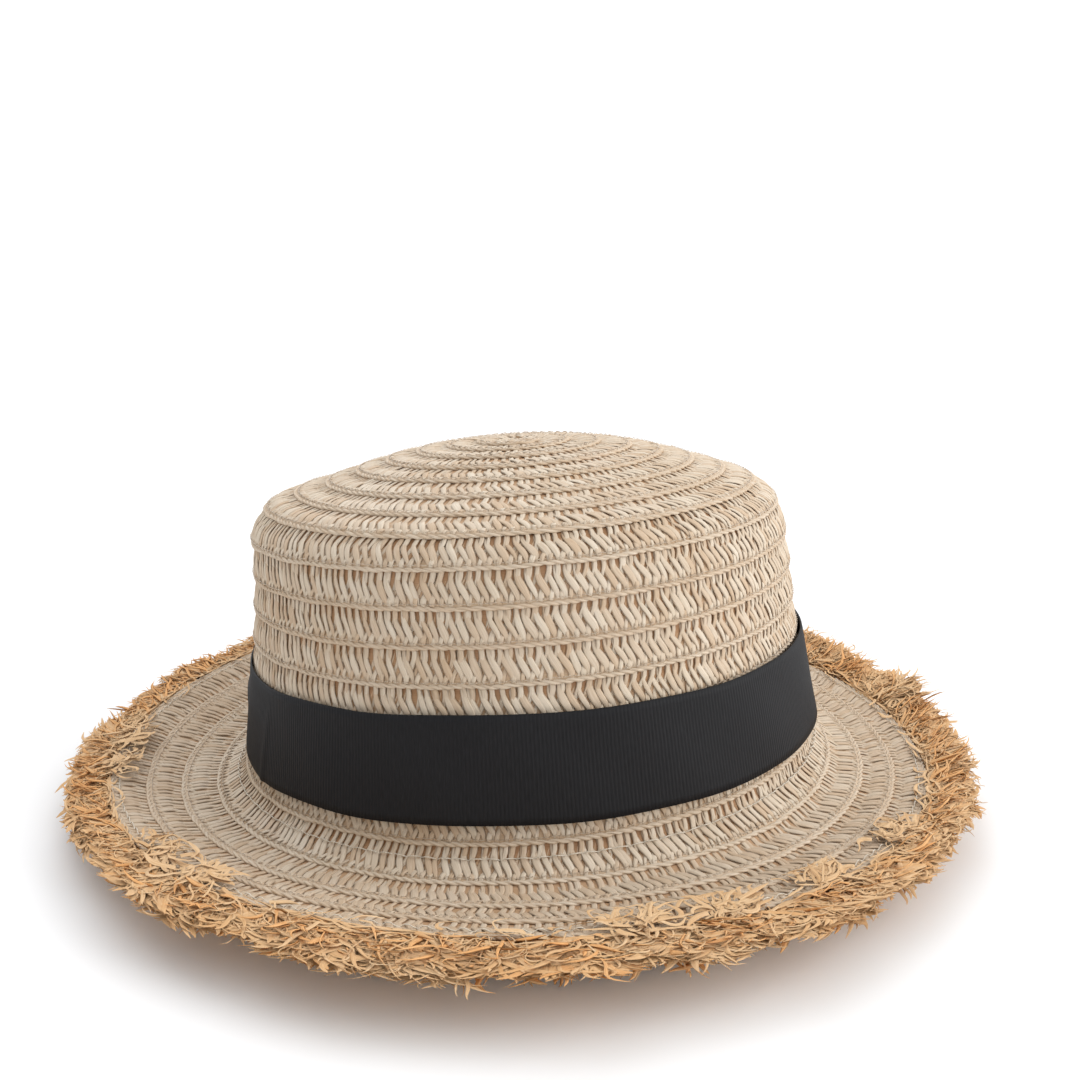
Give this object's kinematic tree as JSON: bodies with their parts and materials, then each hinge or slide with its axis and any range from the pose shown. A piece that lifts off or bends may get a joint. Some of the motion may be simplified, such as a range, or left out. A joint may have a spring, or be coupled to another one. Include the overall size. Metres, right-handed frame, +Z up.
{
  "type": "straw sun hat",
  "caption": "Straw sun hat of sewn braid with a low flat crown, a dark ribbon band, a short flat brim and a raffia fringe round its edge.",
  "frame": {"origin": "under the middle of the hat, on the surface that the fringe under its brim rests on", "axes": "+Z up through the crown, -Y towards the front of the hat, +X to the right when the front faces the viewer, which is the wearer's left-hand side; the oval is longest along Y"},
  "size_m": [0.288, 0.307, 0.1109],
  "materials": {
    "straw": "natural cream-beige paper-straw plait with a soft satin sheen, browner in the gaps",
    "ribbon": "charcoal-black grosgrain with fine upright ribs, matte",
    "sweatband": "beige woven cotton, matte",
    "label": "off-white satin, blank",
    "raffia": "tan-orange shredded raffia, dry and slightly glossy",
    "clear_thread": "clear nylon sewing thread",
    "dark_thread": "black sewing thread"
  },
  "bodies": {
    "root": {"tip_button": "straw", "braid_turn_01": "straw", "braid_turn_02": "straw", "braid_turn_03": "straw", "braid_turn_04": "straw", "braid_turn_05": "straw", "braid_turn_06": "straw", "braid_turn_07": "straw", "braid_turn_08": "straw", "braid_turn_09": "straw", "braid_turn_10": "straw", "braid_turn_11": "straw", "braid_turn_12": "straw", "braid_turn_13": "straw", "braid_turn_14": "straw", "braid_turn_15": "straw", "braid_turn_16": "straw", "braid_turn_17": "straw", "braid_turn_18": "straw", "braid_turn_19": "straw", "braid_turn_20": "straw", "hat_ribbon": "ribbon", "ribbon_thread": "dark_thread", "sweatband": "sweatband", "sweatband_thread": "clear_thread", "care_label": "label", "fringe_heading": "raffia", "raffia_fringe": "raffia", "fringe_thread": "clear_thread"}
  },
  "joints": []
}
